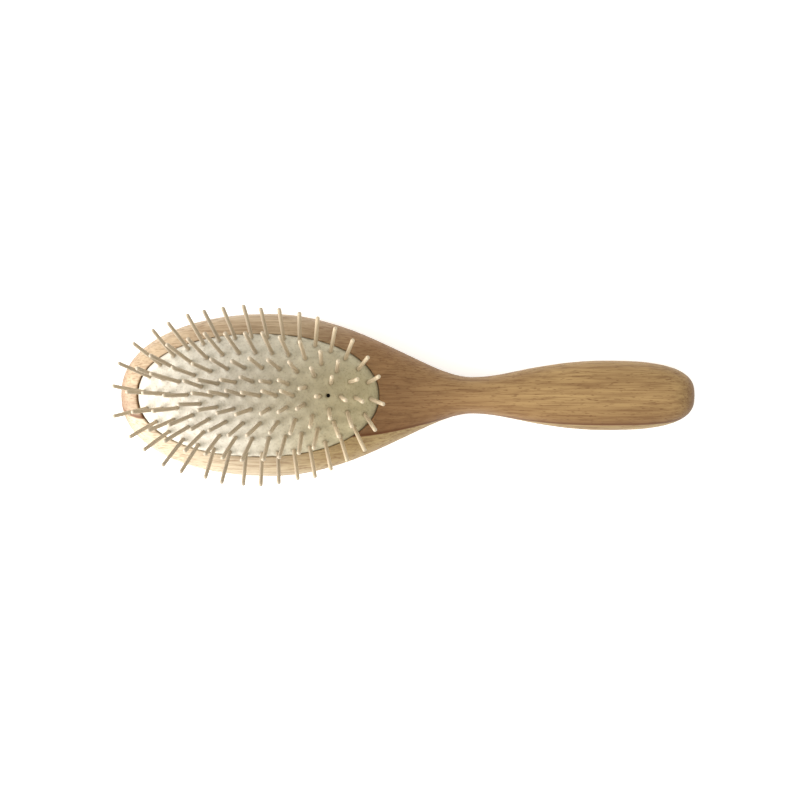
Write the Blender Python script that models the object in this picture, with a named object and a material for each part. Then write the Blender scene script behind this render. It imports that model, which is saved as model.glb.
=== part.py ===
"""An oval cushion hairbrush: a wooden body with a recess in its head, a domed rubber cushion seated in
the recess, and rings of wooden pins that stand through the cushion. Lengths are metres. The brush lies
on its back, its pins point up +Z and its handle runs along +X."""

import math

import bmesh
import bpy
import numpy as np
from mathutils import Vector

# Wooden body, measured from the head's end along +X.
BODY_LENGTH = 0.225
HEAD_WIDEST_X = 0.060
NECK_X = 0.1405
HANDLE_WIDEST_X = 0.190
HEAD_HALF_WIDTH = 0.0322
NECK_HALF_WIDTH = 0.0071
HANDLE_HALF_WIDTH = 0.0134
# Place, half width and slope where the outline passes from the head to the neck and the handle.
SHOULDERS = (
    (HEAD_WIDEST_X, HEAD_HALF_WIDTH, 0.0),
    (0.092, 0.0260, -0.36),
    (0.117, 0.0149, -0.47),
    (NECK_X, NECK_HALF_WIDTH, 0.0),
    (0.1655, 0.0110, 0.17),
    (HANDLE_WIDEST_X, HANDLE_HALF_WIDTH, 0.0),
)
HEAD_END_ROUNDNESS = 2.2
HANDLE_END_ROUNDNESS = 2.8

HEAD_THICKNESS = 0.0190
NECK_THICKNESS = 0.0155
HANDLE_THICKNESS = 0.0178
THINNING_START_X = 0.095
NECK_LIFT = 0.0016
SEAM_SHARE = 0.45
TOP_EDGE_ROUND = 0.0130
BACK_EDGE_ROUND = 0.0100
EDGE_ROUNDNESS = 2.2
ROUND_SHARE_OF_WIDTH = 0.95

# Cushion: its outline is a superellipse around PAD_CENTRE_X.
PAD_CENTRE_X = 0.0571
PAD_HALF_LENGTH = 0.0476
PAD_HALF_WIDTH = 0.0238
PAD_ROUNDNESS = 2.15
RIM_Z = 0.0172
DOME_HEIGHT = 0.0105
DOME_POWER = 2.5
RUBBER_THICKNESS = 0.0018
SKIRT_THICKNESS = 0.0011
SKIRT_TOP_Z = 0.0156
RIM_TUCK = 0.0006
FLANGE_REACH = 0.0013
FLANGE_TOP_Z = 0.0152
FLANGE_BOTTOM_Z = 0.0132
VENT_FROM_CENTRE = 0.0288
VENT_RADIUS = 0.0009

# Recess in the head.
CHAMBER_FLOOR_Z = 0.0088
FIT_GAP = 0.0004
CUT_ABOVE_TOP = 0.005

# Pins. A ring is its name, its count, the half length and half width of the ellipse it follows, and
# how far round it from the head's end the first pin sits.
RINGS = (
    ("outer", 34, 0.0440, 0.0218, 0.0012),
    ("second", 28, 0.0384, 0.0161, 0.0007),
    ("third", 22, 0.0332, 0.0104, 0.0004),
    ("fourth", 16, 0.0254, 0.0052, 0.0003),
)
CROWN_COUNT = 6
CROWN_HALF_LENGTH = 0.0155
RINGS_FROM_CENTRE = 0.00035
PIN_RADIUS = 0.00076
PIN_LENGTH = 0.01945
PIN_SIDES = 8
TIP_START = 0.00055
TIP_ROUND = 0.00015
TIP_RADIUS = 0.00055
FOOT_RADIUS = 0.0013
FOOT_TOP_DEPTH = 0.0026
FOOT_BOTTOM_DEPTH = 0.0037
HOLE_GAP = 0.00032
HOLE_BELOW = 0.0045
HOLE_ABOVE = 0.0035
# Slope of the outward lean that a pin on the pad's outline would have, along the pad and across it.
LEAN_ALONG = 0.42
LEAN_ACROSS = 0.84
# Slope along the pad of a pin on its side edge, and across the pad of a pin on its handle end.
SKEW_ALONG = -0.05
SKEW_ACROSS = -0.08
# Slope towards the handle that only the outer row has at the pad's sides.
OUTER_SIDE_LEAN = 0.12
# Slope of the crown's whole row, along the pad and across it.
CROWN_LEAN = (-0.067, 0.07)

SECTION_SIDES = 36
HEAD_SECTIONS = 32
MIDDLE_SECTIONS = 21
HANDLE_END_SECTIONS = 24
PAD_SIDES = 56
# Where the dome's rings of points sit, as shares of the way from its centre to its outline.
DOME_RING_SHARES = (0.15, 0.35, 0.55, 0.72, 0.86, 0.95)
DOME_EDGE_SHARE = 0.995
OUTLINE_STEPS = 1200
RING_STEPS = 1441
SLOPE_STEP = 0.00001

WOOD_COLOUR = (0.40, 0.25, 0.11, 1.0)
RUBBER_COLOUR = (0.55, 0.50, 0.35, 1.0)
PIN_COLOUR = (0.49, 0.39, 0.25, 1.0)
WOOD_ROUGHNESS = 0.45
RUBBER_ROUGHNESS = 0.75
PIN_ROUGHNESS = 0.5


def clear_scene():
    for obj in list(bpy.data.objects):
        bpy.data.objects.remove(obj, do_unlink=True)


def make_material(name, colour, roughness):
    material = bpy.data.materials.new(name)
    material.use_nodes = True
    shader = material.node_tree.nodes["Principled BSDF"]
    shader.inputs["Base Color"].default_value = colour
    shader.inputs["Roughness"].default_value = roughness
    shader.inputs["Metallic"].default_value = 0.0
    material.diffuse_color = colour
    return material


def add_object(name, bm, material=None):
    """A new object with this mesh, smooth shaded, its faces turned outwards."""
    bmesh.ops.recalc_face_normals(bm, faces=bm.faces)
    for face in bm.faces:
        face.smooth = True
    mesh = bpy.data.meshes.new(name)
    bm.to_mesh(mesh)
    bm.free()
    obj = bpy.data.objects.new(name, mesh)
    bpy.context.scene.collection.objects.link(obj)
    if material:
        mesh.materials.append(material)
    return obj


def loft(bm, rings, first_point=None, last_point=None):
    """Joins rings of equal count with quads, and closes each end with a fan or a face."""
    made = [[bm.verts.new(point) for point in ring] for ring in rings]
    for low, high in zip(made, made[1:]):
        for i in range(len(low)):
            j = (i + 1) % len(low)
            bm.faces.new((low[i], low[j], high[j], high[i]))
    for ring, point in ((made[0], first_point), (made[-1], last_point)):
        if point is None:
            bm.faces.new(ring)
            continue
        tip = bm.verts.new(point)
        for i in range(len(ring)):
            bm.faces.new((ring[i], ring[(i + 1) % len(ring)], tip))


# ---- Wooden body ----


def superellipse_share(share, power):
    """Height of a unit superellipse at this share of its half length."""
    return max(0.0, 1.0 - min(1.0, abs(share)) ** power) ** (1.0 / power)


def shoulder_half_width(x):
    """Cubic curve through the shoulder stations, with the slope that each one states."""
    for (x0, w0, slope0), (x1, w1, slope1) in zip(SHOULDERS, SHOULDERS[1:]):
        if x <= x1:
            span = x1 - x0
            t = (x - x0) / span
            return (
                w0 * (2 * t**3 - 3 * t**2 + 1)
                + slope0 * span * (t**3 - 2 * t**2 + t)
                + w1 * (3 * t**2 - 2 * t**3)
                + slope1 * span * (t**3 - t**2)
            )
    return SHOULDERS[-1][1]


def half_width(x):
    if x < HEAD_WIDEST_X:
        share = (HEAD_WIDEST_X - x) / HEAD_WIDEST_X
        return HEAD_HALF_WIDTH * superellipse_share(share, HEAD_END_ROUNDNESS)
    if x > HANDLE_WIDEST_X:
        share = (x - HANDLE_WIDEST_X) / (BODY_LENGTH - HANDLE_WIDEST_X)
        return HANDLE_HALF_WIDTH * superellipse_share(share, HANDLE_END_ROUNDNESS)
    return shoulder_half_width(x)


def eased_places(start, end, count):
    """Places from start to end, closest together at both ends."""
    turn = np.linspace(0.0, math.pi, count)
    return start + (end - start) * (1.0 - np.cos(turn)) / 2.0


def outline_points():
    """Dense points along one side of the body's outline."""
    places = eased_places(0.0, BODY_LENGTH, OUTLINE_STEPS)
    return np.array([(x, half_width(x)) for x in places])


def smooth_step(x, start, end):
    t = min(1.0, max(0.0, (x - start) / (end - start)))
    return t * t * (3.0 - 2.0 * t)


def between_parts(x, head, neck, handle):
    """A value that eases from the head's to the neck's and on to the handle's."""
    to_neck = smooth_step(x, THINNING_START_X, NECK_X)
    to_handle = smooth_step(x, NECK_X, HANDLE_WIDEST_X)
    return head + (neck - head) * to_neck + (handle - neck) * to_handle


def rounded_share(distance, reach):
    """How far a rounded edge has risen at this distance in from the outline, from 0 to 1."""
    inward = min(1.0, distance / reach)
    return (1.0 - (1.0 - inward) ** EDGE_ROUNDNESS) ** (1.0 / EDGE_ROUNDNESS)


def body_section(x, outline):
    """Points round the body at this place along its length."""
    width = half_width(x)
    local = half_width(min(max(x, HEAD_WIDEST_X), HANDLE_WIDEST_X))
    back = between_parts(x, 0.0, NECK_LIFT, 0.0)
    top = back + between_parts(x, HEAD_THICKNESS, NECK_THICKNESS, HANDLE_THICKNESS)
    seam = back + SEAM_SHARE * (top - back)
    points = []
    for i in range(SECTION_SIDES):
        turn = 2.0 * math.pi * i / SECTION_SIDES
        y = width * math.cos(turn)
        distance = np.hypot(outline[:, 0] - x, outline[:, 1] - abs(y)).min()
        if math.sin(turn) >= 0.0:
            reach = min(TOP_EDGE_ROUND, ROUND_SHARE_OF_WIDTH * local)
            z = seam + (top - seam) * rounded_share(distance, reach)
        else:
            reach = min(BACK_EDGE_ROUND, ROUND_SHARE_OF_WIDTH * local)
            z = seam + (back - seam) * rounded_share(distance, reach)
        points.append((x, y, z))
    return points


def body_places():
    head = eased_places(0.0, HEAD_WIDEST_X * 2.0, HEAD_SECTIONS)
    head = head[(head > 0.0) & (head < HEAD_WIDEST_X)]
    middle = np.linspace(HEAD_WIDEST_X, HANDLE_WIDEST_X, MIDDLE_SECTIONS)
    end = eased_places(2.0 * HANDLE_WIDEST_X - BODY_LENGTH, BODY_LENGTH, HANDLE_END_SECTIONS)
    end = end[(end > HANDLE_WIDEST_X) & (end < BODY_LENGTH)]
    return np.concatenate((head, middle, end))


def make_body(origin, material):
    """The head, neck and handle in one piece, its recess not yet cut."""
    outline = outline_points()
    sections = [body_section(x, outline) for x in body_places()]
    rings = [[Vector(point) - origin for point in section] for section in sections]
    head_tip = Vector((0.0, 0.0, SEAM_SHARE * HEAD_THICKNESS)) - origin
    handle_tip = Vector((BODY_LENGTH, 0.0, SEAM_SHARE * HANDLE_THICKNESS)) - origin
    bm = bmesh.new()
    loft(bm, rings, head_tip, handle_tip)
    return add_object("wooden_body", bm, material)


# ---- Cushion and its seat ----


def pad_point(turn, grow=0.0):
    """A point on the pad's outline, or on the outline made larger by grow."""
    cos, sin = math.cos(turn), math.sin(turn)
    power = 2.0 / PAD_ROUNDNESS
    return (
        (PAD_HALF_LENGTH + grow) * math.copysign(abs(cos) ** power, cos),
        (PAD_HALF_WIDTH + grow) * math.copysign(abs(sin) ** power, sin),
    )


def pad_share(x, y):
    """0 at the pad's centre and 1 on its outline; x is measured from the pad's centre."""
    along = abs(x / PAD_HALF_LENGTH) ** PAD_ROUNDNESS
    across = abs(y / PAD_HALF_WIDTH) ** PAD_ROUNDNESS
    return (along + across) ** (1.0 / PAD_ROUNDNESS)


def dome_z(x, y):
    return RIM_Z + DOME_HEIGHT * (1.0 - pad_share(x, y) ** DOME_POWER)


def dome_normal(x, y):
    slope_x = (dome_z(x + SLOPE_STEP, y) - dome_z(x - SLOPE_STEP, y)) / (2.0 * SLOPE_STEP)
    slope_y = (dome_z(x, y + SLOPE_STEP) - dome_z(x, y - SLOPE_STEP)) / (2.0 * SLOPE_STEP)
    return Vector((-slope_x, -slope_y, 1.0)).normalized()


def pad_turns():
    return [2.0 * math.pi * i / PAD_SIDES for i in range(PAD_SIDES)]


def level_ring(grow, z, origin):
    """The pad's outline made larger by grow, at height z."""
    ring = []
    for turn in pad_turns():
        x, y = pad_point(turn, grow)
        ring.append(Vector((PAD_CENTRE_X + x, y, z)) - origin)
    return ring


def dome_ring(share, depth, origin):
    """A ring on the dome at this share of the outline, sunk into it by depth."""
    ring = []
    for turn in pad_turns():
        x, y = pad_point(turn)
        x, y = x * share, y * share
        point = Vector((PAD_CENTRE_X + x, y, dome_z(x, y)))
        ring.append(point - depth * dome_normal(x, y) - origin)
    return ring


def make_cushion(origin, material):
    """The rubber from its crown out to the rim, down round the flange, and back up under the dome."""
    rings = [dome_ring(share, 0.0, origin) for share in (*DOME_RING_SHARES, DOME_EDGE_SHARE)]
    inner_wall = -SKIRT_THICKNESS - FIT_GAP
    rings.append(level_ring(-FIT_GAP, RIM_Z - RIM_TUCK, origin))
    rings.append(level_ring(-FIT_GAP, FLANGE_TOP_Z, origin))
    rings.append(level_ring(FLANGE_REACH, FLANGE_TOP_Z, origin))
    rings.append(level_ring(FLANGE_REACH, FLANGE_BOTTOM_Z, origin))
    rings.append(level_ring(inner_wall, FLANGE_BOTTOM_Z, origin))
    rings.append(level_ring(inner_wall, SKIRT_TOP_Z, origin))
    rings += [dome_ring(share, RUBBER_THICKNESS, origin) for share in reversed(DOME_RING_SHARES)]
    top = Vector((PAD_CENTRE_X, 0.0, RIM_Z + DOME_HEIGHT)) - origin
    bm = bmesh.new()
    loft(bm, rings, top, top - Vector((0.0, 0.0, RUBBER_THICKNESS)))
    return add_object("rubber_cushion", bm, material)


def make_seat_cutter(origin):
    """The chamber, the groove for the cushion's flange, and the opening above it, in one solid."""
    groove_top = FLANGE_TOP_Z + FIT_GAP
    groove_bottom = FLANGE_BOTTOM_Z - FIT_GAP
    groove_reach = FLANGE_REACH + FIT_GAP
    chamber_wall = -SKIRT_THICKNESS
    rings = [
        level_ring(chamber_wall, CHAMBER_FLOOR_Z, origin),
        level_ring(chamber_wall, groove_bottom, origin),
        level_ring(groove_reach, groove_bottom, origin),
        level_ring(groove_reach, groove_top, origin),
        level_ring(0.0, groove_top, origin),
        level_ring(0.0, HEAD_THICKNESS + CUT_ABOVE_TOP, origin),
    ]
    bm = bmesh.new()
    loft(bm, rings)
    return hide_cutter(add_object("seat_cutter", bm))


def hide_cutter(obj):
    obj.hide_render = True
    obj.display_type = "WIRE"
    return obj


def cut(obj, cutter):
    modifier = obj.modifiers.new("cut_" + cutter.name, "BOOLEAN")
    modifier.operation = "DIFFERENCE"
    modifier.solver = "EXACT"
    modifier.object = cutter


# ---- Pins ----


def ellipse_places(count, reach_along, reach_across, start):
    """Points spaced evenly round an ellipse, the first one start past the head's end."""
    turn = np.linspace(0.0, 2.0 * math.pi, RING_STEPS)
    x = -reach_along * np.cos(turn)
    y = reach_across * np.sin(turn)
    walked = np.concatenate(([0.0], np.cumsum(np.hypot(np.diff(x), np.diff(y)))))
    stops = (start + np.arange(count) / count * walked[-1]) % walked[-1]
    return list(zip(np.interp(stops, walked, x), np.interp(stops, walked, y)))


def pin_direction(row, x, y):
    """Unit direction of a row's pin here: upright at the pad's centre, leaning out more towards its edge."""
    share = pad_share(x, y)
    from_middle = share * x / PAD_HALF_LENGTH
    to_side = share * y / PAD_HALF_WIDTH
    along = LEAN_ALONG * from_middle + SKEW_ALONG * to_side
    across = LEAN_ACROSS * to_side + SKEW_ACROSS * from_middle
    if row == "outer":
        along += OUTER_SIDE_LEAN * (y / PAD_HALF_WIDTH) ** 2
    if row == "crown":
        along += CROWN_LEAN[0]
        across += CROWN_LEAN[1]
    return Vector((along, across, 1.0)).normalized()


def pin_places():
    """Name, base point and direction of each modelled pin, ring by ring.

    The rings hold more pins than an assembly this size has room for as separate solids, so every
    other one of a ring is modelled. The crown's row is whole."""
    places = {}
    for name, count, length, width, start in RINGS:
        ring = ellipse_places(count, length, width, start)
        places[name] = [(i + 1, *ring[i]) for i in range(0, count, 2)]
    crown = np.linspace(-CROWN_HALF_LENGTH, CROWN_HALF_LENGTH, CROWN_COUNT)
    places["crown"] = [(i + 1, x, 0.0) for i, x in enumerate(crown)]
    pins = {}
    for name, ring in places.items():
        pins[name] = []
        for number, x, y in ring:
            x += RINGS_FROM_CENTRE
            base = Vector((PAD_CENTRE_X + x, y, dome_z(x, y)))
            pins[name].append((f"{name}_pin_{number:02d}", base, pin_direction(name, x, y)))
    return pins


def frame_origin(pins):
    """The point on the ground under the middle of the whole brush."""
    tips = [base + PIN_LENGTH * direction for ring in pins.values() for _, base, direction in ring]
    low_x = min(0.0, min(tip.x for tip in tips) - PIN_RADIUS)
    ys = [tip.y for tip in tips]
    return Vector(((low_x + BODY_LENGTH) / 2.0, (min(ys) + max(ys)) / 2.0, 0.0))


def pin_ring(radius, z):
    turns = [2.0 * math.pi * i / PIN_SIDES for i in range(PIN_SIDES)]
    return [(radius * math.cos(turn), radius * math.sin(turn), z) for turn in turns]


def make_pin_mesh(material):
    """One pin, standing on the point where it leaves the rubber: a foot, a shaft and a rounded tip."""
    profile = (
        (FOOT_RADIUS, -FOOT_BOTTOM_DEPTH),
        (FOOT_RADIUS, -FOOT_TOP_DEPTH),
        (PIN_RADIUS, -FOOT_TOP_DEPTH),
        (PIN_RADIUS, PIN_LENGTH - TIP_START),
        (TIP_RADIUS, PIN_LENGTH - TIP_ROUND),
    )
    bm = bmesh.new()
    loft(bm, [pin_ring(radius, z) for radius, z in profile], None, (0.0, 0.0, PIN_LENGTH))
    pin = add_object("pin_pattern", bm, material)
    mesh = pin.data
    bpy.data.objects.remove(pin, do_unlink=True)
    return mesh


def make_pins(pins, origin, material):
    """The pins, each ring under an empty that marks the line its ring sinks along."""
    mesh = make_pin_mesh(material)
    for name, ring in pins.items():
        carrier = bpy.data.objects.new(name + "_row", None)
        carrier.location = Vector((PAD_CENTRE_X, 0.0, RIM_Z)) - origin
        bpy.context.scene.collection.objects.link(carrier)
        for pin_name, base, direction in ring:
            pin = bpy.data.objects.new(pin_name, mesh)
            pin.parent = carrier
            pin.location = base - origin - carrier.location
            pin.rotation_mode = "QUATERNION"
            pin.rotation_quaternion = direction.to_track_quat("Z", "Y")
            bpy.context.scene.collection.objects.link(pin)


def add_hole(bm, base, direction, radius):
    """A prism through the rubber at this point, along this direction."""
    turned = direction.to_track_quat("Z", "Y").to_matrix()
    circumscribed = radius / math.cos(math.pi / PIN_SIDES)
    ends = []
    for z in (-HOLE_BELOW, HOLE_ABOVE):
        ring = pin_ring(circumscribed, z)
        ends.append([base + turned @ Vector(point) for point in ring])
    loft(bm, ends)


def make_hole_cutter(pins, origin):
    """One solid for each pin's hole through the rubber, and one for the vent."""
    bm = bmesh.new()
    for ring in pins.values():
        for _, base, direction in ring:
            add_hole(bm, base - origin, direction, PIN_RADIUS + HOLE_GAP)
    vent = Vector((PAD_CENTRE_X + VENT_FROM_CENTRE, 0.0, dome_z(VENT_FROM_CENTRE, 0.0)))
    normal = dome_normal(VENT_FROM_CENTRE, 0.0)
    add_hole(bm, vent - origin, normal, VENT_RADIUS)
    return hide_cutter(add_object("hole_cutter", bm))


def main():
    clear_scene()
    wood = make_material("body_wood", WOOD_COLOUR, WOOD_ROUGHNESS)
    rubber = make_material("cushion_rubber", RUBBER_COLOUR, RUBBER_ROUGHNESS)
    pin_wood = make_material("pin_wood", PIN_COLOUR, PIN_ROUGHNESS)
    pins = pin_places()
    origin = frame_origin(pins)
    body = make_body(origin, wood)
    cut(body, make_seat_cutter(origin))
    cushion = make_cushion(origin, rubber)
    cut(cushion, make_hole_cutter(pins, origin))
    make_pins(pins, origin, pin_wood)


main()
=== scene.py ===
import math
import random

import bmesh
import bpy
import numpy as np
from mathutils import Euler, Matrix, Vector


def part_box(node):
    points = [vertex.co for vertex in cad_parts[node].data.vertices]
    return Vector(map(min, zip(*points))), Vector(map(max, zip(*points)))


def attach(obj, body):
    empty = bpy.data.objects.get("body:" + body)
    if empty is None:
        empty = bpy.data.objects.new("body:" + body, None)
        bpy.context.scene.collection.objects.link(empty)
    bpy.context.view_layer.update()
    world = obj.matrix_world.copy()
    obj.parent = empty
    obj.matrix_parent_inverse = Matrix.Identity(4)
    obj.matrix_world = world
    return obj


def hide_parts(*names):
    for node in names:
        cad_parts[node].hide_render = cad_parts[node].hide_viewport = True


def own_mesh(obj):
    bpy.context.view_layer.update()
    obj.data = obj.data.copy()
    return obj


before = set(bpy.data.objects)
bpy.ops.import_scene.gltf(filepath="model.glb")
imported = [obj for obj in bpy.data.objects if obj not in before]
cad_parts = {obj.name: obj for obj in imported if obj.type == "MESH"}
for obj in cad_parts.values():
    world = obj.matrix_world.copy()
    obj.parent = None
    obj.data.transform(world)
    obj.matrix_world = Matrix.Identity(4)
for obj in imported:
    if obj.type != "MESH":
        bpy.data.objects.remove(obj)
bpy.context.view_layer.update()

MM = 0.001
SEED = 7

# ---- Places taken from the frame ----

BODY_LOW, BODY_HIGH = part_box("wooden_body")
PAD_LOW, PAD_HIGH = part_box("rubber_cushion")
HEAD_END_X = BODY_LOW.x
MIDDLE_Y = (BODY_LOW.y + BODY_HIGH.y) / 2
BODY_LENGTH = BODY_HIGH.x - BODY_LOW.x
FLANGE_REACH = 1.3 * MM
PAD_CENTRE_X = (PAD_LOW.x + PAD_HIGH.x) / 2
PAD_HALF_LENGTH = (PAD_HIGH.x - PAD_LOW.x) / 2 - FLANGE_REACH
PAD_HALF_WIDTH = (PAD_HIGH.y - PAD_LOW.y) / 2 - FLANGE_REACH
FLANGE_BOTTOM_Z = PAD_LOW.z
CROWN_Z = PAD_HIGH.z
DOME_HEIGHT = 10.5 * MM
RIM_Z = CROWN_Z - DOME_HEIGHT

# ---- Wooden body, measured along X from the head's end ----

HEAD_WIDEST_X = 60.0 * MM
NECK_X = 140.5 * MM
HANDLE_WIDEST_X = 190.0 * MM
HEAD_HALF_WIDTH = (BODY_HIGH.y - BODY_LOW.y) / 2
NECK_HALF_WIDTH = 7.1 * MM
HANDLE_HALF_WIDTH = 13.4 * MM
# Place, half width and slope where the outline passes from the head to the handle.
SHOULDERS = (
    (HEAD_WIDEST_X, HEAD_HALF_WIDTH, 0.0),
    (92.0 * MM, 26.0 * MM, -0.36),
    (117.0 * MM, 14.9 * MM, -0.47),
    (NECK_X, NECK_HALF_WIDTH, 0.0),
    (165.5 * MM, 11.0 * MM, 0.17),
    (HANDLE_WIDEST_X, HANDLE_HALF_WIDTH, 0.0),
)
HEAD_END_ROUNDNESS = 2.2
HANDLE_END_ROUNDNESS = 2.8
HEAD_THICKNESS = 19.0 * MM
NECK_THICKNESS = 15.5 * MM
HANDLE_THICKNESS = 17.8 * MM
THINNING_START_X = 95.0 * MM
NECK_LIFT = 1.6 * MM
SEAM_SHARE = 0.45
TOP_EDGE_ROUND = 13.0 * MM
BACK_EDGE_ROUND = 10.0 * MM
EDGE_ROUNDNESS = 2.2
ROUND_SHARE_OF_WIDTH = 0.95
OUTLINE_POINTS = 1600
# Sections across the head's end, the middle and the handle's end, before each end is trimmed.
HEAD_SECTIONS = 90
MIDDLE_SECTIONS = 90
HANDLE_SECTIONS = 80
SECTION_SIDES = 120
BODY_SHARP_ANGLE = math.radians(40.0)

# ---- Cushion and its seat ----

PAD_ROUNDNESS = 2.15
DOME_POWER = 2.5
RUBBER_THICKNESS = 1.8 * MM
SKIRT_THICKNESS = 1.1 * MM
SKIRT_TOP_Z = 15.6 * MM
SKIRT_BELOW_RIM = 0.6 * MM
FLANGE_TOP_Z = FLANGE_BOTTOM_Z + 2.0 * MM
FIT_GAP = 0.4 * MM
CHAMBER_FLOOR_Z = 8.8 * MM
# Steps of the seat's eased lip: out from the pad's outline, and up from the wood's face.
SEAT_LIP = (
    (0.0, -0.55 * MM),
    (0.06 * MM, -0.30 * MM),
    (0.22 * MM, -0.10 * MM),
    (0.50 * MM, 0.03 * MM),
    (0.90 * MM, 0.50 * MM),
    (0.90 * MM, 4.0 * MM),
)
PAD_SIDES = 240
DOME_RINGS = 110
DOME_RING_CROWDING = 0.92
LAST_DOME_RING = 0.995
UNDERSIDE_RINGS = (0.95, 0.90, 0.84, 0.76, 0.66, 0.54, 0.40, 0.25, 0.10)
SLOPE_STEP = 0.01 * MM
CUSHION_SHARP_ANGLE = math.radians(60.0)
VENT_FROM_CENTRE = 28.8 * MM
VENT_RADIUS = 0.85 * MM
VENT_DEPTH = 1.5 * MM
# The rolled shoulder, as shares of the way out to the pad's outline.
ROLL_START = 0.78
ROLL_CREST = 0.95
ROLL_HEIGHT = 0.8 * MM
MOUND_HEIGHT = 1.05 * MM
MOUND_REACH = 1.7 * MM
DIMPLE_DEPTH = 0.6 * MM
DIMPLE_REACH = 0.85 * MM
# Reach of the painted shade round each pin's foot.
PIN_SHADE_REACH = 1.05 * MM

# ---- Pins ----

# Name, count, half length and half width of the ring, and how far round it the first pin sits.
RINGS = (
    ("outer", 34, 44.0 * MM, 21.8 * MM, 1.2 * MM),
    ("second", 28, 38.4 * MM, 16.1 * MM, 0.7 * MM),
    ("third", 22, 33.2 * MM, 10.4 * MM, 0.4 * MM),
    ("fourth", 16, 25.4 * MM, 5.2 * MM, 0.3 * MM),
)
CROWN_COUNT = 6
CROWN_HALF_LENGTH = 15.5 * MM
RINGS_FROM_CENTRE = 0.35 * MM
RING_STEPS = 1441
# Slope of the outward lean that a pin on the pad's outline would have, along it and across it.
LEAN_ALONG = 0.42
LEAN_ACROSS = 0.84
# Slope along the pad of a pin on its side edge, and across the pad of one on its handle end.
SKEW_ALONG = -0.05
SKEW_ACROSS = -0.08
# Slope towards the handle that only the outer row has at the pad's sides.
OUTER_SIDE_LEAN = 0.12
# Slope of the crown's whole row, along the pad and across it.
CROWN_LEAN = (-0.067, 0.07)
PIN_RADIUS = 0.76 * MM
PIN_TAPER = 0.02
PIN_LENGTH = 19.45 * MM
PIN_SIDES = 16
TIP_HEIGHT = 0.5 * MM
SHAFT_SHARES = (0.0, 0.25, 0.5, 0.75, 1.0)
TIP_TURNS = (20.0, 40.0, 60.0, 76.0)
# How much the pins differ from one another: length, bend at the tip and slope.
LENGTH_SPREAD = 0.25 * MM
BEND_SPREAD = 0.16 * MM
LEAN_SPREAD = 0.03
FOOT_RADIUS = 1.3 * MM
FOOT_FACE_SHARE = 0.85
FOOT_BEVEL = 0.2 * MM
FOOT_FILLET = 0.05 * MM
FOOT_TOP_DEPTH = 2.6 * MM
FOOT_BOTTOM_DEPTH = 3.7 * MM

# ---- Wood of the body ----

# The pith that the growth rings turn round, and the distance from it where the sapwood starts.
PITH_Y = MIDDLE_Y + 75.0 * MM
PITH_Z = 92.0 * MM
SAP_RADIUS = 116.6 * MM
SAP_EDGE = 0.7 * MM
RING_SPACING = 2.6 * MM
# The sapwood's edge wanders by the first, and drifts by the second towards the head's end.
SAP_WANDER = 9.0 * MM
SAP_DRIFT = (-100.0 * MM, -10.0 * MM, 7.5 * MM, 0.0)
# The dark line along the sapwood: where it starts and is darkest, from the sapwood, and its share.
BROAD_LINE = (-12.0 * MM, 0.0, 0.42)
NARROW_LINE = (-1.5 * MM, -0.2 * MM, 0.56)
# Each noise in the wood: its frequencies along X, Y and Z, its detail and its roughness.
FIBRE = ((60.0, 1500.0, 1500.0), 4.0, 0.6)
STREAK = ((14.0, 260.0, 260.0), 3.0, 0.55)
BAND = ((34.0, 620.0, 620.0), 3.0, 0.6)
PORES = ((380.0, 2400.0, 2400.0), 1.0, 0.5)
CLOUD = ((18.0, 40.0, 40.0), 2.0, 0.5)
WANDER = ((5.0, 22.0, 22.0), 2.0, 0.5)
CLOUD_SHIFT = (0.3, 0.1, 0.0)
# From which value to which a noise shows, and the most of the stain that it brings.
FIBRE_SHOWN = (0.42, 0.72, 0.0, 0.62)
STREAK_SHOWN = (0.4, 0.75, 0.0, 0.30)
BAND_SHOWN = (0.4, 0.75, 0.0, 0.42)
CLOUD_SHOWN = (0.35, 0.8, 0.0, 0.10)
RINGS_SHOWN = (-0.2, 1.0, 0.0, 0.12)
# The ends are darkened partly for their own end grain and partly as painted shade where they turn
# from the light.
END_GRAIN_AND_SHADE_SHOWN = (0.35, 0.9, 0.0, 0.75)
PORES_SHOWN = (0.61, 0.71)
PORE_SHARE = 0.55
# From which place to which along X the wood changes; the grain is bolder on the handle. The paler
# heart and sapwood at the head end are painted light, for the glare of the low key light there.
PAINTED_PALE_TO_RED = (-48.0 * MM, -6.0 * MM)
RED_TO_TAN = (-12.0 * MM, 62.0 * MM)
PAINTED_PALE_SAPWOOD_FADE = (-62.0 * MM, -20.0 * MM)
BOLDNESS = (-60.0 * MM, 15.0 * MM, 0.35, 1.0)
WOOD_ROUGHNESS = (0.2, 0.8, 0.42, 0.56)
WOOD_SPECULAR = 0.25
# Strength and depth of the relief, and the fibres' share of it.
WOOD_BUMP = (0.3, 0.12 * MM)
FIBRE_RELIEF = 0.4
# The first colour and the paler sapwood paint light: the wood at the head end is painted paler
# where the low key light glares on it.
PAINTED_LIT_HEART_WOOD = (190, 169, 140)
RED_WOOD = (155, 119, 81)
TAN_WOOD = (175, 144, 98)
PAINTED_LIT_SAPWOOD = (192, 177, 151)
SAPWOOD = (173, 150, 107)
SAP_LINE = (94, 54, 22)
# The dark grain colour also paints the shade on the body's ends.
DARK_GRAIN_AND_SHADE = (108, 74, 44)
PORE = (98, 62, 34)

# ---- Rubber and pin wood ----

# The mottle and the specks: frequency, detail and roughness of their noise.
MOTTLE = (190.0, 4.0, 0.65)
SPECK = (1100.0, 4.0, 0.7)
# From which place to which along X the rubber is painted from its lit tone to its dim one, a
# painted falloff of the key light.
RUBBER_PAINTED_FALLOFF = (-72.0 * MM, -12.0 * MM)
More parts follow.
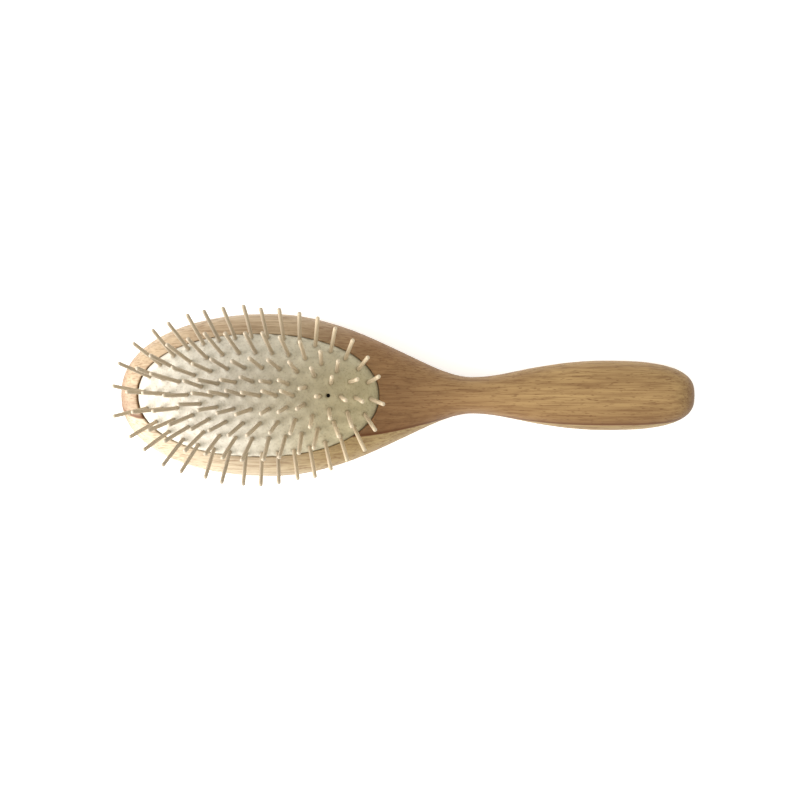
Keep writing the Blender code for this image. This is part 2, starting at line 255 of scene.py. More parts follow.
# From which distance to which off the middle, towards +Y, the rubber keeps more of its painted lit
# tone, and by how much.
PAINTED_LIGHT_SIDE = (3.0 * MM, 20.0 * MM, 0.0, 0.4)
MOTTLE_SHOWN = (0.4, 0.75, 0.0, 0.22)
SPECK_SHOWN = (0.48, 0.72, 0.0, 0.36)
# Share of the painted shade where each pin goes into its dimple.
PIN_SHADE_SHARE = 0.6
VENT_EDGE = 0.2 * MM
RUBBER_ROUGHNESS = 0.72
RUBBER_SPECULAR = 0.3
RUBBER_BUMP = (0.6, 0.5 * MM)
MOTTLE_RELIEF = 0.6
SPECK_RELIEF = 0.4
# The first two colours paint light: pale where the key light falls on the head end, yellower and
# darker towards the handle.
RUBBER_PAINTED_LIT = (212, 207, 194)
RUBBER_PAINTED_DIM = (190, 180, 146)
# This colour is both the rubber's mottle and the painted shade round the pins' feet.
MOTTLE_AND_SHADE_RUBBER = (112, 99, 74)
# Painted shade: the near-black inside of the vent's hole.
PAINTED_HOLE_SHADE = (18, 15, 12)
PIN_FIBRES = ((2600.0, 2600.0, 130.0), 3.0, 0.6)
PIN_FIBRES_SHOWN = (0.42, 0.75, 0.0, 0.35)
# Pins are painted paler towards the handle, a painted light for the lit sides of the pins leaning
# that way; each also has a paleness and a place in the grain of its own.
PAINTED_PIN_LIGHT = (-68.0 * MM, -12.0 * MM, 0.0, 0.7)
OWN_PALENESS = 0.3
OWN_SHIFT = 3.0
PIN_ROUGHNESS = 0.48
PIN_BUMP = (0.2, 0.08 * MM)
PALE_PIN = (210, 193, 164)
DARK_PIN = (170, 158, 139)
PIN_FIBRE = (126, 107, 83)

# ---- Room, light and camera ----

FLOOR_HALF = 12.0
FLOOR_DROP = 0.02 * MM
FLOOR_GLOW = 0.5
FLOOR_ROUGHNESS = 0.9
FLOOR_CLOUD = (6.0, 2.0, 0.5)
FLOOR_CLOUD_SHOWN = (0.3, 0.7)
FLOOR_WHITE = (243, 243, 243)
FLOOR_SHADE = (240, 240, 240)
SKY_COLOUR = (1.0, 0.98, 0.89, 1.0)
SKY_STRENGTH = 0.85
KEY_PLACE = Vector((-0.44, -0.11, 0.21))
KEY_TARGET = Vector((-0.07, 0.0, 0.01))
KEY_SIZE = 0.40
KEY_POWER = 4.7
KEY_COLOUR = (1.0, 0.97, 0.97)
CAMERA_DISTANCE = 330.0 * MM
CAMERA_TO_HANDLE = math.radians(4.36)
CAMERA_TO_TOP = math.radians(0.9)
CAMERA_TARGET = Vector((0.31 * MM, MIDDLE_Y - 1.70 * MM, 20.0 * MM))
CAMERA_LENS = 39.06
CAMERA_SENSOR = 36.0
CAMERA_CLIP_START = 0.01


# ---- Meshes ----


def add_mesh(name, points, faces, materials):
    """A smooth-shaded mesh object in the scene."""
    mesh = bpy.data.meshes.new(name)
    mesh.from_pydata([tuple(point) for point in points], [], faces)
    mesh.validate()
    for polygon in mesh.polygons:
        polygon.use_smooth = True
    for material in materials:
        mesh.materials.append(material)
    obj = bpy.data.objects.new(name, mesh)
    bpy.context.scene.collection.objects.link(obj)
    return obj


def loft(rings, first=None, last=None):
    """(points, faces) of rings of equal count joined by quads.

    Each end is closed by a fan to its point, or by one face where there is none.
    """
    count = len(rings[0])
    points = [point for ring in rings for point in ring]
    faces = []
    for k in range(len(rings) - 1):
        low, high = k * count, (k + 1) * count
        for i in range(count):
            j = (i + 1) % count
            faces.append((low + i, low + j, high + j, high + i))
    top = (len(rings) - 1) * count
    if first is None:
        faces.append(tuple(range(count - 1, -1, -1)))
    else:
        points.append(first)
        faces += [((i + 1) % count, i, len(points) - 1) for i in range(count)]
    if last is None:
        faces.append(tuple(range(top, top + count)))
    else:
        points.append(last)
        faces += [(top + i, top + (i + 1) % count, len(points) - 1) for i in range(count)]
    return points, faces


def face_outwards(obj):
    """Turns every face's normal to the outside."""
    bm = bmesh.new()
    bm.from_mesh(obj.data)
    bmesh.ops.recalc_face_normals(bm, faces=bm.faces)
    bm.to_mesh(obj.data)
    bm.free()


def smooth_step(x, start, end):
    """0 before start, 1 after end, and eased between them."""
    t = min(1.0, max(0.0, (x - start) / (end - start)))
    return t * t * (3.0 - 2.0 * t)


def eased_places(start, end, count):
    """Places from start to end, closer together towards both ends."""
    turn = np.linspace(0.0, math.pi, count)
    return start + (end - start) * (1.0 - np.cos(turn)) / 2.0


# ---- Wooden body ----


def superellipse_share(share, power):
    """Half width of a rounded end, as a share of its full one, this share of the way out."""
    return max(0.0, 1.0 - min(1.0, abs(share)) ** power) ** (1.0 / power)


def shoulder_half_width(x):
    """Half width between the head's widest place and the handle's, by a smooth cubic."""
    for (x0, w0, slope0), (x1, w1, slope1) in zip(SHOULDERS, SHOULDERS[1:]):
        if x <= x1:
            span = x1 - x0
            t = (x - x0) / span
            return (
                w0 * (2 * t**3 - 3 * t**2 + 1)
                + slope0 * span * (t**3 - 2 * t**2 + t)
                + w1 * (3 * t**2 - 2 * t**3)
                + slope1 * span * (t**3 - t**2)
            )
    return SHOULDERS[-1][1]


def half_width(x):
    """Half width of the body at this place along it."""
    if x < HEAD_WIDEST_X:
        share = (HEAD_WIDEST_X - x) / HEAD_WIDEST_X
        return HEAD_HALF_WIDTH * superellipse_share(share, HEAD_END_ROUNDNESS)
    if x > HANDLE_WIDEST_X:
        share = (x - HANDLE_WIDEST_X) / (BODY_LENGTH - HANDLE_WIDEST_X)
        return HANDLE_HALF_WIDTH * superellipse_share(share, HANDLE_END_ROUNDNESS)
    return shoulder_half_width(x)


OUTLINE = np.array([(x, half_width(x)) for x in eased_places(0.0, BODY_LENGTH, OUTLINE_POINTS)])


def between_parts(x, head, neck, handle):
    """A value that goes from the head's to the neck's and on to the handle's."""
    to_neck = smooth_step(x, THINNING_START_X, NECK_X)
    to_handle = smooth_step(x, NECK_X, HANDLE_WIDEST_X)
    return head + (neck - head) * to_neck + (handle - neck) * to_handle


def rounded_share(distance, reach):
    """Share of a rounded edge's full height, this far in from the outline."""
    inward = min(1.0, distance / reach)
    return (1.0 - (1.0 - inward) ** EDGE_ROUNDNESS) ** (1.0 / EDGE_ROUNDNESS)


def body_heights(x):
    """(back, seam, top) of the body at this place along it."""
    back = between_parts(x, 0.0, NECK_LIFT, 0.0)
    top = back + between_parts(x, HEAD_THICKNESS, NECK_THICKNESS, HANDLE_THICKNESS)
    return back, back + SEAM_SHARE * (top - back), top


def body_z(x, y, upper):
    """Height of the body's upper or lower face at this place."""
    back, seam, top = body_heights(x)
    local = half_width(min(max(x, HEAD_WIDEST_X), HANDLE_WIDEST_X))
    distance = np.hypot(OUTLINE[:, 0] - x, OUTLINE[:, 1] - abs(y)).min()
    edge = TOP_EDGE_ROUND if upper else BACK_EDGE_ROUND
    far = top if upper else back
    return seam + (far - seam) * rounded_share(distance, min(edge, ROUND_SHARE_OF_WIDTH * local))


def body_places():
    """Where along the body its sections lie, closer together at both ends."""
    head = eased_places(0.0, HEAD_WIDEST_X * 2.0, HEAD_SECTIONS)
    head = head[(head > 0.0) & (head < HEAD_WIDEST_X)]
    middle = np.linspace(HEAD_WIDEST_X, HANDLE_WIDEST_X, MIDDLE_SECTIONS)
    end = eased_places(2.0 * HANDLE_WIDEST_X - BODY_LENGTH, BODY_LENGTH, HANDLE_SECTIONS)
    end = end[(end > HANDLE_WIDEST_X) & (end < BODY_LENGTH)]
    return np.concatenate((head, middle, end))


def body_section(x):
    """The ring of points round the body at this place along it."""
    width = half_width(x)
    ring = []
    for i in range(SECTION_SIDES):
        turn = 2.0 * math.pi * i / SECTION_SIDES
        y = width * math.cos(turn)
        ring.append((HEAD_END_X + x, MIDDLE_Y + y, body_z(x, y, math.sin(turn) >= 0.0)))
    return ring


def pad_outline(grow=0.0):
    """The pad's outline made larger by grow, as (x, y) from the pad's centre."""
    power = 2.0 / PAD_ROUNDNESS
    outline = []
    for i in range(PAD_SIDES):
        turn = 2.0 * math.pi * i / PAD_SIDES
        cos, sin = math.cos(turn), math.sin(turn)
        x = (PAD_HALF_LENGTH + grow) * math.copysign(abs(cos) ** power, cos)
        y = (PAD_HALF_WIDTH + grow) * math.copysign(abs(sin) ** power, sin)
        outline.append((x, y))
    return outline


def level_ring(grow, z):
    """The pad's outline made larger by grow, at one height."""
    return [(PAD_CENTRE_X + x, MIDDLE_Y + y, z) for x, y in pad_outline(grow)]


def lip_ring(grow, rise):
    """The pad's outline made larger by grow, at a height above the wood's own face there."""
    ring = []
    for x, y in pad_outline(grow):
        wood = body_z(PAD_CENTRE_X + x - HEAD_END_X, y, True)
        ring.append((PAD_CENTRE_X + x, MIDDLE_Y + y, wood + rise))
    return ring


def seat_cutter():
    """What is cut from the head: the air chamber, the flange's groove and the eased lip."""
    groove_top = FLANGE_TOP_Z + FIT_GAP
    groove_bottom = FLANGE_BOTTOM_Z - FIT_GAP
    groove_reach = FLANGE_REACH + FIT_GAP
    rings = [
        level_ring(-SKIRT_THICKNESS, CHAMBER_FLOOR_Z),
        level_ring(-SKIRT_THICKNESS, groove_bottom),
        level_ring(groove_reach, groove_bottom),
        level_ring(groove_reach, groove_top),
        level_ring(0.0, groove_top),
    ]
    rings += [lip_ring(grow, rise) for grow, rise in SEAT_LIP]
    points, faces = loft(rings)
    cutter = add_mesh("seat_cutter", points, faces, [])
    face_outwards(cutter)
    return cutter


def make_body(material):
    """The wooden body, with the seat for the cushion cut into its head."""
    rings = [body_section(x) for x in body_places()]
    head_tip = (HEAD_END_X, MIDDLE_Y, body_heights(0.0)[1])
    handle_tip = (HEAD_END_X + BODY_LENGTH, MIDDLE_Y, body_heights(BODY_LENGTH)[1])
    points, faces = loft(rings, head_tip, handle_tip)
    body = add_mesh("shaped_wooden_body", points, faces, [material])
    face_outwards(body)
    cutter = seat_cutter()
    cut = body.modifiers.new("seat", "BOOLEAN")
    cut.operation = "DIFFERENCE"
    cut.solver = "EXACT"
    cut.object = cutter
    graph = bpy.context.evaluated_depsgraph_get()
    mesh = bpy.data.meshes.new_from_object(body.evaluated_get(graph))
    body.modifiers.clear()
    body.data = mesh
    bpy.data.objects.remove(cutter, do_unlink=True)
    mesh.set_sharp_from_angle(angle=BODY_SHARP_ANGLE)
    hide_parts("wooden_body")
    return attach(body, "brush_body")


# ---- Cushion ----


def pad_share(x, y):
    """How far this place is on the way from the pad's centre to its outline."""
    along = abs(x / PAD_HALF_LENGTH) ** PAD_ROUNDNESS
    across = abs(y / PAD_HALF_WIDTH) ** PAD_ROUNDNESS
    return (along + across) ** (1.0 / PAD_ROUNDNESS)


def dome_z(x, y):
    """Height of the plain dome."""
    return RIM_Z + DOME_HEIGHT * (1.0 - pad_share(x, y) ** DOME_POWER)


def dome_normal(x, y):
    """Outward direction of the plain dome."""
    slope_x = (dome_z(x + SLOPE_STEP, y) - dome_z(x - SLOPE_STEP, y)) / (2.0 * SLOPE_STEP)
    slope_y = (dome_z(x, y + SLOPE_STEP) - dome_z(x, y - SLOPE_STEP)) / (2.0 * SLOPE_STEP)
    return Vector((-slope_x, -slope_y, 1.0)).normalized()


def edge_roll(share):
    """Rise of the rubber's rounded shoulder, just inside its rim, over the plain dome."""
    rise = smooth_step(share, ROLL_START, ROLL_CREST)
    if share > ROLL_CREST:
        rise = math.sqrt(1.0 - ((share - ROLL_CREST) / (1.0 - ROLL_CREST)) ** 2)
    return ROLL_HEIGHT * rise


def pucker(away, vent):
    """Rise of the rubber this far from a pin's middle and from the vent's middle."""
    rise = MOUND_HEIGHT * math.exp(-((away / MOUND_REACH) ** 2))
    rise -= DIMPLE_DEPTH * math.exp(-((away / DIMPLE_REACH) ** 4))
    return rise - VENT_DEPTH * math.exp(-((vent / VENT_RADIUS) ** 6))


def outer_face(pins):
    """(rings, nearness to a pin at each of their points) of the rubber's outer face."""
    bases = np.array([(base.x - PAD_CENTRE_X, base.y - MIDDLE_Y) for _, _, base, _ in pins])
    turns = np.linspace(0.0, math.pi / 2, DOME_RINGS + 1)[1:] * DOME_RING_CROWDING
    shares = LAST_DOME_RING * np.sin(turns) / math.sin(math.pi / 2 * DOME_RING_CROWDING)
    rings = []
    near_pin = []
    for share in shares:
        ring = []
        for x, y in pad_outline():
            x, y = x * share, y * share
            away = np.hypot(bases[:, 0] - x, bases[:, 1] - y).min()
            vent = math.hypot(x - VENT_FROM_CENTRE, y)
            z = dome_z(x, y) + edge_roll(share)
            plain = Vector((PAD_CENTRE_X + x, MIDDLE_Y + y, z))
            ring.append(tuple(plain + pucker(away, vent) * dome_normal(x, y)))
            # Nearness to a pin, which the material turns into painted shade.
            near_pin.append(math.exp(-((away / PIN_SHADE_REACH) ** 4)))
        rings.append(ring)
    return rings, near_pin


def skirt_and_flange():
    """Rings from under the rim down round the flange and up inside the skirt."""
    inside = -SKIRT_THICKNESS - FIT_GAP
    return [
        level_ring(-FIT_GAP, RIM_Z - SKIRT_BELOW_RIM),
        level_ring(-FIT_GAP, FLANGE_TOP_Z),
        level_ring(FLANGE_REACH, FLANGE_TOP_Z),
        level_ring(FLANGE_REACH, FLANGE_BOTTOM_Z),
        level_ring(inside, FLANGE_BOTTOM_Z),
        level_ring(inside, SKIRT_TOP_Z),
    ]


def inner_face():
    """Rings of the rubber's inner face, from the skirt in towards the crown."""
    rings = []
    for share in UNDERSIDE_RINGS:
        ring = []
        for x, y in pad_outline():
            x, y = x * share, y * share
            point = Vector((PAD_CENTRE_X + x, MIDDLE_Y + y, dome_z(x, y)))
            ring.append(tuple(point - RUBBER_THICKNESS * dome_normal(x, y)))
        rings.append(ring)
    return rings


def make_cushion(pins, material):
    """The domed rubber sheet, drawn up into a small mound round each pin."""
    outer_rings, near_pin = outer_face(pins)
    top = (PAD_CENTRE_X, MIDDLE_Y, CROWN_Z)
    under = (PAD_CENTRE_X, MIDDLE_Y, CROWN_Z - RUBBER_THICKNESS)
    points, faces = loft(outer_rings + skirt_and_flange() + inner_face(), top, under)
    cushion = add_mesh("moulded_cushion", points, faces, [material])
    values = np.zeros(len(cushion.data.vertices), np.float32)
    values[: len(near_pin)] = near_pin
    attribute = cushion.data.attributes.new("near_pin", "FLOAT", "POINT")
    attribute.data.foreach_set("value", values)
    face_outwards(cushion)
    cushion.data.set_sharp_from_angle(angle=CUSHION_SHARP_ANGLE)
    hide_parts("rubber_cushion")
    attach(cushion, "brush_body")
    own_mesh(cushion)
    return cushion


# ---- Pins ----


def ellipse_places(count, reach_along, reach_across, start):
    """Places spread evenly round an ellipse, the first this far from its end on -X."""
    turn = np.linspace(0.0, 2.0 * math.pi, RING_STEPS)
    x = -reach_along * np.cos(turn)
    y = reach_across * np.sin(turn)
    walked = np.concatenate(([0.0], np.cumsum(np.hypot(np.diff(x), np.diff(y)))))
    stops = (start + np.arange(count) / count * walked[-1]) % walked[-1]
    return list(zip(np.interp(stops, walked, x), np.interp(stops, walked, y)))


def pin_direction(row, x, y):
    """Unit direction of a row's pin here: it leans out, more so towards the pad's edge."""
    share = pad_share(x, y)
    from_middle = share * x / PAD_HALF_LENGTH
    to_side = share * y / PAD_HALF_WIDTH
    along = LEAN_ALONG * from_middle + SKEW_ALONG * to_side
    across = LEAN_ACROSS * to_side + SKEW_ACROSS * from_middle
    if row == "outer":
        along += OUTER_SIDE_LEAN * (y / PAD_HALF_WIDTH) ** 2
    if row == "crown":
        along += CROWN_LEAN[0]
        across += CROWN_LEAN[1]
    return Vector((along, across, 1.0)).normalized()


def pin_places():
    """(row, number, base point, direction) of every pin."""
    rows = [(ring[0], ellipse_places(*ring[1:])) for ring in RINGS]
    crown = np.linspace(-CROWN_HALF_LENGTH, CROWN_HALF_LENGTH, CROWN_COUNT)
    rows.append(("crown", [(x, 0.0) for x in crown]))
    pins = []
    for row, places in rows:
        for i, (x, y) in enumerate(places):
            x += RINGS_FROM_CENTRE
            base = Vector((PAD_CENTRE_X + x, MIDDLE_Y + y, dome_z(x, y)))
            pins.append((row, i + 1, base, pin_direction(row, x, y)))
    return pins


def pin_profile(length):
    """(radius, height) along a turned pin, its foot first."""
    profile = [
        (FOOT_RADIUS * FOOT_FACE_SHARE, -FOOT_BOTTOM_DEPTH),
        (FOOT_RADIUS, -FOOT_BOTTOM_DEPTH + FOOT_BEVEL),
        (FOOT_RADIUS, -FOOT_TOP_DEPTH - FOOT_BEVEL),
        (FOOT_RADIUS * FOOT_FACE_SHARE, -FOOT_TOP_DEPTH),
        (PIN_RADIUS, -FOOT_TOP_DEPTH + FOOT_FILLET),
    ]
    shoulder = length - TIP_HEIGHT
    for share in SHAFT_SHARES:
        profile.append((PIN_RADIUS * (1.0 - PIN_TAPER * share), shoulder * share))
    for turn in TIP_TURNS:
        radius = PIN_RADIUS * (1.0 - PIN_TAPER) * math.cos(math.radians(turn))
        profile.append((radius, shoulder + TIP_HEIGHT * math.sin(math.radians(turn))))
    return profile


def stray(chance, spread):
    """A small random sideways vector."""
    return Vector((chance.gauss(0.0, spread), chance.gauss(0.0, spread), 0.0))


def make_pin(row, number, base, direction, material, chance):
    """One turned pin, a little different from the others in length, bend and lean."""
    length = PIN_LENGTH + chance.uniform(-1.0, 1.0) * LENGTH_SPREAD
    bend = stray(chance, BEND_SPREAD)
    direction = direction + stray(chance, LEAN_SPREAD)
    rings = []
    for radius, z in pin_profile(length):
        share = max(0.0, z / length)
        lean = bend * share**2
        ring = []
        for i in range(PIN_SIDES):
            turn = 2.0 * math.pi * i / PIN_SIDES
            ring.append((lean.x + radius * math.cos(turn), lean.y + radius * math.sin(turn), z))
        rings.append(ring)
    points, faces = loft(rings, (0.0, 0.0, -FOOT_BOTTOM_DEPTH), (bend.x, bend.y, length))
    cad_name = f"{row}_pin_{number:02d}"
    pin = add_mesh("turned_" + cad_name, points, faces, [material])
    face_outwards(pin)
    turned = direction.to_track_quat("Z", "Y").to_matrix().to_4x4()
    roll = Matrix.Rotation(chance.uniform(0.0, 2.0 * math.pi), 4, "Z")
    pin.matrix_world = Matrix.Translation(base) @ turned @ roll
    if cad_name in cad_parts:
        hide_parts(cad_name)
    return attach(pin, row + "_pins")


# ---- Node materials ----


class Nodes:
    """Short names for the few kinds of shader node that the materials use."""

    def __init__(self, name):
        self.material = bpy.data.materials.new(name)
        self.material.use_nodes = True
        self.tree = self.material.node_tree
        self.shader = self.tree.nodes["Principled BSDF"]

    def add(self, kind, **settings):
        """A node of this kind, with its settings."""
        node = self.tree.nodes.new(kind)
        for key, value in settings.items():
            setattr(node, key, value)
        return node

    def put(self, socket, value):
        """Links a socket, or sets a constant on it."""
        if isinstance(value, bpy.types.NodeSocket):
            self.tree.links.new(value, socket)
        else:
            socket.default_value = value

    def fill(self, node, **values):
        """Links or sets the node's inputs, each named with _ for a space."""
        for key, value in values.items():
            self.put(node.inputs[key.replace("_", " ")], value)
        return node.outputs

    def place(self):
        """This point's place in its object, in metres."""
        return self.add("ShaderNodeTexCoord").outputs["Object"]

    def mapped(self, vector, scale, location=(0, 0, 0)):
        """The vector stretched and moved."""
        node = self.add("ShaderNodeMapping")
        return self.fill(node, Vector=vector, Scale=scale, Location=location)["Vector"]

    def noise(self, vector, scale, detail, roughness):
        """Noise from 0 to 1, of this frequency."""
        node = self.add("ShaderNodeTexNoise")
        outputs = self.fill(node, Vector=vector, Scale=scale, Detail=detail, Roughness=roughness)
        return outputs["Fac"]

    def grain(self, vector, kind, location=(0, 0, 0)):
        """Noise of its own frequency along each axis."""
        frequencies, detail, roughness = kind
        return self.noise(self.mapped(vector, frequencies, location), 1.0, detail, roughness)

    def math(self, operation, a, b=0.0):
        """A sum, product or other operation on one or two numbers."""
        node = self.add("ShaderNodeMath", operation=operation)
        self.put(node.inputs[0], a)
        self.put(node.inputs[1], b)
        return node.outputs[0]

    def length(self, a, b):
        """Length of the vector (a, b)."""
        squares = [self.math("MULTIPLY", side, side) for side in (a, b)]
        return self.math("SQRT", self.math("ADD", *squares))

    def ranged(self, value, low, high, out_low=0.0, out_high=1.0):
        """The value eased from out_low to out_high as it goes from low to high."""
        node = self.add("ShaderNodeMapRange", interpolation_type="SMOOTHSTEP")
        self.fill(node, Value=value, From_Min=low, From_Max=high)
        return self.fill(node, To_Min=out_low, To_Max=out_high)["Result"]

    def mix(self, share, a, b):
        """Colour a with this share of colour b, each a socket or 0-255 display values."""
        node = self.add("ShaderNodeMix", data_type="RGBA")
        for number, value in ((0, share), (6, shown(a)), (7, shown(b))):
            self.put(node.inputs[number], value)
        return node.outputs[2]

    def split(self, vector):
        """The vector's three numbers."""
        node = self.add("ShaderNodeSeparateXYZ")
        self.put(node.inputs[0], vector)
        return node.outputs

    def bump(self, height, strength, distance):
        """Surface direction with this relief."""
        node = self.add("ShaderNodeBump")
        return self.fill(node, Height=height, Strength=strength, Distance=distance)["Normal"]

    def finish(self, **values):
        """The material, its shader's inputs linked or set."""
        self.fill(self.shader, **values)
        return self.material


def linear(channel):
    """Linear light of one 0-255 display value."""
    v = channel / 255.0
    return ((v + 0.055) / 1.055) ** 2.4 if v > 0.04045 else v / 12.92


def shown(colour):
    """A socket as it is, and display values as a linear colour."""
    if isinstance(colour, tuple):
        return tuple(linear(channel) for channel in colour) + (1.0,)
    return colour


def sapwood_edge(n, place):
    """(sapwood share, dark boundary line, distance from the pith) of this place in the wood."""
    x, y, z = n.split(place)
    wander = n.math("MULTIPLY", n.math("SUBTRACT", n.grain(place, WANDER), 0.5), SAP_WANDER)
    across = n.math("ADD", n.math("SUBTRACT", PITH_Y, y), n.ranged(x, *SAP_DRIFT))
    across = n.math("ADD", across, wander)
    radius = n.length(across, n.math("SUBTRACT", PITH_Z, z))
    sap = n.ranged(radius, SAP_RADIUS, SAP_RADIUS + SAP_EDGE)
    lines = []
    for start, end, most in (BROAD_LINE, NARROW_LINE):
        lines.append(n.ranged(radius, SAP_RADIUS + start, SAP_RADIUS + end, 0.0, most))
    line = n.math("MULTIPLY", n.math("ADD", *lines), n.math("SUBTRACT", 1.0, sap))
    return sap, line, radius


def end_grain_and_shade(n):
    """How far the surface turns to face along the fibres, where wood looks darker: partly its own
    darker end grain, partly painted shade on the ends that curve away from the light.
    """
    normal = n.add("ShaderNodeTexCoord").outputs["Normal"]
    return n.ranged(n.math("ABSOLUTE", n.split(normal)[0]), *END_GRAIN_AND_SHADE_SHOWN)


def body_wood():
    """Pale hardwood with fibres along X, a paler sapwood edge on -Y and short dark pores. Its head
    end is painted paler as painted light, and its ends are darker, partly end grain and partly
    painted shade.
    """
    n = Nodes("body_wood_grain")
    place = n.place()
    x = n.split(place)[0]
    sap, line, radius = sapwood_edge(n, place)
    rings = n.math("SINE", n.math("MULTIPLY", radius, 2.0 * math.pi / RING_SPACING))
    fibre = n.grain(place, FIBRE)
    boldness = n.ranged(x, *BOLDNESS)
    pores = n.math("MULTIPLY", n.ranged(n.grain(place, PORES), *PORES_SHOWN), boldness)
    # Painted light: the heartwood is painted paler at the head end, where the key light glares.
    heart = n.mix(n.ranged(x, *PAINTED_PALE_TO_RED), PAINTED_LIT_HEART_WOOD, RED_WOOD)
    heart = n.mix(n.ranged(x, *RED_TO_TAN), heart, TAN_WOOD)
    heart = n.mix(n.ranged(n.grain(place, CLOUD, CLOUD_SHIFT), *CLOUD_SHOWN), heart, DARK_GRAIN_AND_SHADE)
    heart = n.mix(n.ranged(rings, *RINGS_SHOWN), heart, DARK_GRAIN_AND_SHADE)
    # Painted light: the sapwood too is painted paler towards the head end.
    pale = n.mix(n.ranged(x, *PAINTED_PALE_SAPWOOD_FADE), PAINTED_LIT_SAPWOOD, SAPWOOD)
    colour = n.mix(sap, heart, pale)
    colour = n.mix(line, colour, SAP_LINE)
    for kind, visible in ((BAND, BAND_SHOWN), (STREAK, STREAK_SHOWN)):
        share = n.math("MULTIPLY", n.ranged(n.grain(place, kind), *visible), boldness)
        colour = n.mix(share, colour, DARK_GRAIN_AND_SHADE)
    colour = n.mix(n.ranged(fibre, *FIBRE_SHOWN), colour, DARK_GRAIN_AND_SHADE)
    colour = n.mix(n.math("MULTIPLY", pores, PORE_SHARE), colour, PORE)
    # Darker ends: end grain, and painted shade where the ends turn from the light.
    colour = n.mix(end_grain_and_shade(n), colour, DARK_GRAIN_AND_SHADE)
    relief = n.math("SUBTRACT", n.math("MULTIPLY", fibre, FIBRE_RELIEF), pores)
    return n.finish(
        Base_Color=colour,
        Roughness=n.ranged(fibre, *WOOD_ROUGHNESS),
        Specular_IOR_Level=WOOD_SPECULAR,
        Normal=n.bump(relief, *WOOD_BUMP),
    )


def cushion_rubber():
    """Matte natural latex, painted pale at the lit head end and yellower and darker towards the
    handle, less so towards +Y: a painted falloff of the key light along the pad.

    It is mottled, and painted darker where each pin goes in, as painted shade in the dimple round
    its foot; the vent's hole is painted near black as its shade.
    """
    n = Nodes("cushion_latex")
    place = n.place()
    x, y, _ = n.split(place)
    pin_shade_mask = n.add("ShaderNodeAttribute", attribute_name="near_pin").outputs["Fac"]
    mottle = n.noise(place, *MOTTLE)
    speck = n.noise(place, *SPECK)
    off_middle = n.math("SUBTRACT", y, MIDDLE_Y)
    from_vent = n.length(n.math("SUBTRACT", x, PAD_CENTRE_X + VENT_FROM_CENTRE), off_middle)
    vent = n.ranged(from_vent, VENT_RADIUS, VENT_RADIUS - VENT_EDGE)
    # Painted light: the rubber goes from its lit tone to its dim one along X, and keeps more of
    # the lit tone towards +Y.
    painted_side_light = n.ranged(off_middle, *PAINTED_LIGHT_SIDE)
    painted_falloff = n.math("MULTIPLY", n.ranged(x, *RUBBER_PAINTED_FALLOFF), n.math("SUBTRACT", 1.0, painted_side_light))
    colour = n.mix(painted_falloff, RUBBER_PAINTED_LIT, RUBBER_PAINTED_DIM)
    colour = n.mix(n.ranged(mottle, *MOTTLE_SHOWN), colour, MOTTLE_AND_SHADE_RUBBER)
    colour = n.mix(n.ranged(speck, *SPECK_SHOWN), colour, MOTTLE_AND_SHADE_RUBBER)
    # Painted shade in the dimple round each pin's foot.
    colour = n.mix(n.math("MULTIPLY", pin_shade_mask, PIN_SHADE_SHARE), colour, MOTTLE_AND_SHADE_RUBBER)
    # The vent is painted near black, a painted shade inside its hole.
    colour = n.mix(vent, colour, PAINTED_HOLE_SHADE)
    mottle_relief = n.math("MULTIPLY", mottle, MOTTLE_RELIEF)
    speck_relief = n.math("MULTIPLY", speck, SPECK_RELIEF)
    relief = n.math("ADD", mottle_relief, speck_relief)
    return n.finish(
        Base_Color=colour,
        Roughness=RUBBER_ROUGHNESS,
        Specular_IOR_Level=RUBBER_SPECULAR,
        Normal=n.bump(relief, *RUBBER_BUMP),
    )


def pin_wood():
    """Close-grained pale wood, turned smooth; its fibres run along the pin. Pins towards the
    handle are painted paler as painted light.
    """
    n = Nodes("pin_wood_grain")
    info = n.add("ShaderNodeObjectInfo").outputs
    own = info["Random"]
    shift = n.math("MULTIPLY", own, OWN_SHIFT)
    moved = n.fill(n.add("ShaderNodeCombineXYZ"), X=shift)["Vector"]
    fibre = n.grain(n.place(), PIN_FIBRES, moved)
    # Painted light: pins are painted paler towards the handle.
    painted_light_share = n.ranged(n.split(info["Location"])[0], *PAINTED_PIN_LIGHT)
    painted_light_and_own_tone = n.math("ADD", painted_light_share, n.math("MULTIPLY", own, OWN_PALENESS))
    tone = n.mix(painted_light_and_own_tone, DARK_PIN, PALE_PIN)
    return n.finish(
        Base_Color=n.mix(n.ranged(fibre, *PIN_FIBRES_SHOWN), tone, PIN_FIBRE),
        Roughness=PIN_ROUGHNESS,
        Normal=n.bump(fibre, *PIN_BUMP),
    )


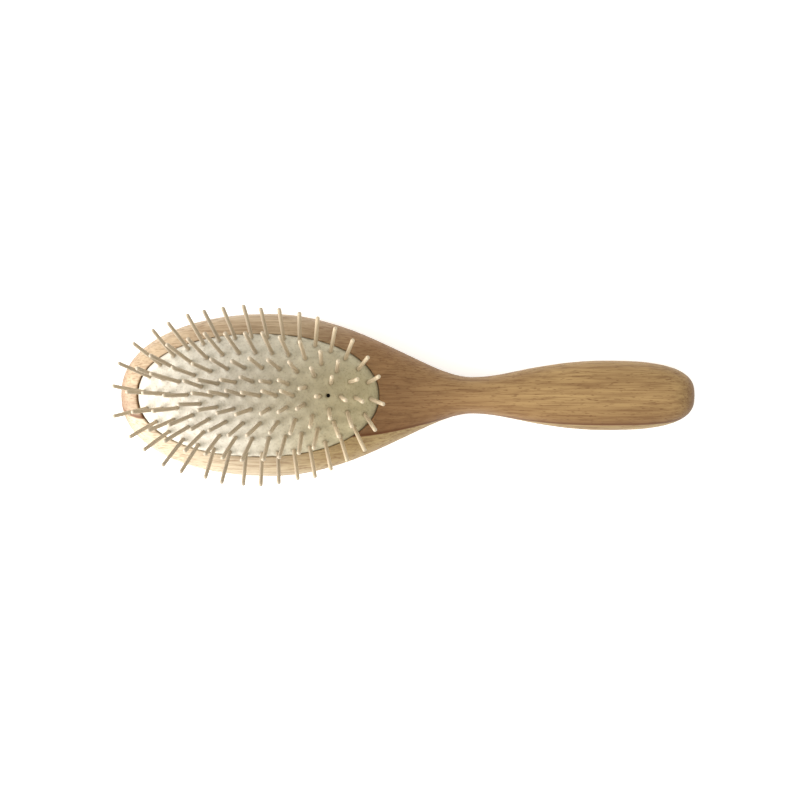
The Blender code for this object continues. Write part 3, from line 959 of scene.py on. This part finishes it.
def floor_paint():
    """A plain white ground, lit a little from below like a light table."""
    n = Nodes("floor_paint")
    tone = n.noise(n.place(), *FLOOR_CLOUD)
    return n.finish(
        Base_Color=n.mix(n.ranged(tone, *FLOOR_CLOUD_SHOWN), FLOOR_WHITE, FLOOR_SHADE),
        Roughness=FLOOR_ROUGHNESS,
        Emission_Color=(1.0, 1.0, 1.0, 1.0),
        Emission_Strength=FLOOR_GLOW,
    )


# ---- Room, light and camera ----


def make_floor():
    """The white ground, just under the body."""
    half = FLOOR_HALF
    corners = [(-half, -half, 0.0), (half, -half, 0.0), (half, half, 0.0), (-half, half, 0.0)]
    floor = add_mesh("floor", corners, [(0, 1, 2, 3)], [floor_paint()])
    floor.location.z = -FLOOR_DROP


def make_light():
    """An even, slightly warm sky, and one soft light low past the head's end."""
    world = bpy.data.worlds.new("studio")
    bpy.context.scene.world = world
    world.use_nodes = True
    background = world.node_tree.nodes["Background"]
    background.inputs["Color"].default_value = SKY_COLOUR
    background.inputs["Strength"].default_value = SKY_STRENGTH
    data = bpy.data.lights.new("key", "AREA")
    data.size = KEY_SIZE
    data.energy = KEY_POWER
    data.color = KEY_COLOUR
    light = bpy.data.objects.new("key", data)
    light.location = KEY_PLACE
    light.rotation_euler = (KEY_TARGET - KEY_PLACE).to_track_quat("-Z", "Y").to_euler()
    bpy.context.scene.collection.objects.link(light)


def make_camera():
    """The camera, almost straight above the brush."""
    data = bpy.data.cameras.new("camera")
    data.lens = CAMERA_LENS
    data.sensor_width = CAMERA_SENSOR
    data.clip_start = CAMERA_CLIP_START
    camera = bpy.data.objects.new("camera", data)
    turned = Euler((-CAMERA_TO_TOP, CAMERA_TO_HANDLE, 0.0))
    upwards = turned.to_matrix() @ Vector((0.0, 0.0, 1.0))
    camera.location = CAMERA_TARGET + CAMERA_DISTANCE * upwards
    camera.rotation_euler = turned
    bpy.context.scene.collection.objects.link(camera)
    bpy.context.scene.camera = camera


def main():
    """The whole brush, its ground, light and camera."""
    chance = random.Random(SEED)
    pins = pin_places()
    make_body(body_wood())
    make_cushion(pins, cushion_rubber())
    pin_material = pin_wood()
    for row, number, base, direction in pins:
        make_pin(row, number, base, direction, pin_material, chance)
    make_floor()
    make_light()
    make_camera()
    bpy.context.scene.view_settings.view_transform = "Standard"


main()
